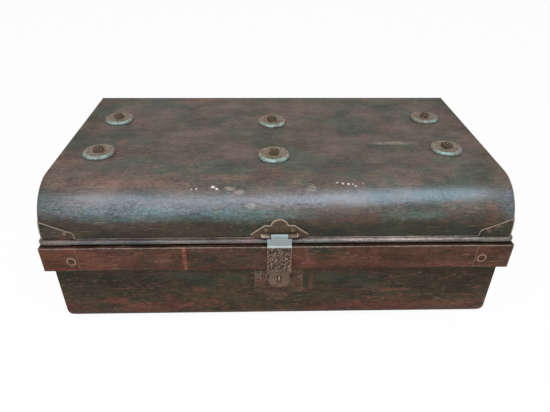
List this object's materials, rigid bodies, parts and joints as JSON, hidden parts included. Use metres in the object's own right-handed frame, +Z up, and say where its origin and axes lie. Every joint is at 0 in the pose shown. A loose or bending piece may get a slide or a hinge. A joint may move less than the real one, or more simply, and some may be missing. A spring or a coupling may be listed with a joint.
{
  "type": "steel travelling trunk",
  "caption": "Low painted sheet-steel trunk with a hinged lid that is rounded along its front edge, a skirt, a hasp and staple, and a drop handle on each end.",
  "frame": {"origin": "on the ground under the middle of the trunk's overall length and depth", "axes": "+X along the trunk to the right seen from the hasp side, +Y to the back (hinge side), +Z up"},
  "size_m": [0.7634, 0.4548, 0.2755],
  "materials": {
    "body_paint": "old dark olive and brown enamel, scratched, red oxide primer showing",
    "lid_paint": "old grey-brown enamel, semi-gloss, scratched",
    "skirt_paint": "red-brown enamel, worn, edges rubbed bare",
    "corner_plate": "red-brown enamel over pressed steel, pale rubbed edges",
    "lock_plate": "taupe-brown enamel over pressed steel, pale rubbed edges",
    "hasp_steel": "worn enamel over stippled steel, bright at the bend",
    "bare_steel": "bare drawn steel, dull",
    "washer_steel": "painted dished washer, verdigris and rust spots, bright rim",
    "rusty_steel": "rusted mild steel",
    "fitting_steel": "painted steel fitting, worn to metal where it turns",
    "batten_wood": "bare softwood, aged"
  },
  "bodies": {
    "trunk": {"body_end_left": "body_paint", "body_end_right": "body_paint", "body_wrap": "body_paint", "handle_eyes_left": "fitting_steel", "handle_eyes_right": "fitting_steel", "handle_plate_left": "fitting_steel", "handle_plate_right": "fitting_steel", "handle_rivets": "fitting_steel", "hasp_staple": "bare_steel", "hinge_lower_leaf_left": "fitting_steel", "hinge_lower_leaf_right": "fitting_steel", "hinge_lower_rivets": "fitting_steel", "hinge_pin_left": "fitting_steel", "hinge_pin_right": "fitting_steel", "lock_plate": "lock_plate", "lock_plate_rivets": "lock_plate", "rim_wire": "bare_steel"},
    "lid": {"hasp_hinge_plate": "lock_plate", "hasp_pin": "bare_steel", "hasp_plate_rivets": "lock_plate", "hinge_upper_leaf_left": "fitting_steel", "hinge_upper_leaf_right": "fitting_steel", "hinge_upper_rivets": "fitting_steel", "lid_batten_left": "batten_wood", "lid_batten_middle": "batten_wood", "lid_batten_right": "batten_wood", "lid_bead_wire": "bare_steel", "lid_bolts": "rusty_steel", "lid_corner_back_left": "corner_plate", "lid_corner_back_right": "corner_plate", "lid_corner_front_left": "corner_plate", "lid_corner_front_right": "corner_plate", "lid_corner_rivets": "corner_plate", "lid_end_left": "lid_paint", "lid_end_right": "lid_paint", "lid_nuts": "rusty_steel", "lid_shell": "lid_paint", "lid_washers": "washer_steel", "skirt_back": "skirt_paint", "skirt_corner_back_left": "corner_plate", "skirt_corner_back_right": "corner_plate", "skirt_corner_front_left": "corner_plate", "skirt_corner_front_right": "corner_plate", "skirt_corner_rivets": "corner_plate", "skirt_front": "skirt_paint", "skirt_left": "skirt_paint", "skirt_right": "skirt_paint"},
    "hasp": {"hasp_strap": "hasp_steel"},
    "handle_left": {"handle_left": "fitting_steel"},
    "handle_right": {"handle_right": "fitting_steel"}
  },
  "joints": [
    {"name": "lid_hinge", "type": "hinge", "parent": "trunk", "child": "lid", "pos_m": [0, 0.2234, 0.124], "axis": [-1, 0, 0], "range_deg": [0, 110]},
    {"name": "hasp_hinge", "type": "hinge", "parent": "lid", "child": "hasp", "pos_m": [0.001, -0.212, 0.1862], "axis": [-1, 0, 0], "range_deg": [0, 140]},
    {"name": "handle_left_hinge", "type": "hinge", "parent": "trunk", "child": "handle_left", "pos_m": [-0.3754, 0.0005, 0.084], "axis": [0, 1, 0], "range_deg": [0, 150]},
    {"name": "handle_right_hinge", "type": "hinge", "parent": "trunk", "child": "handle_right", "pos_m": [0.3754, 0.0005, 0.084], "axis": [0, -1, 0], "range_deg": [0, 150]}
  ]
}
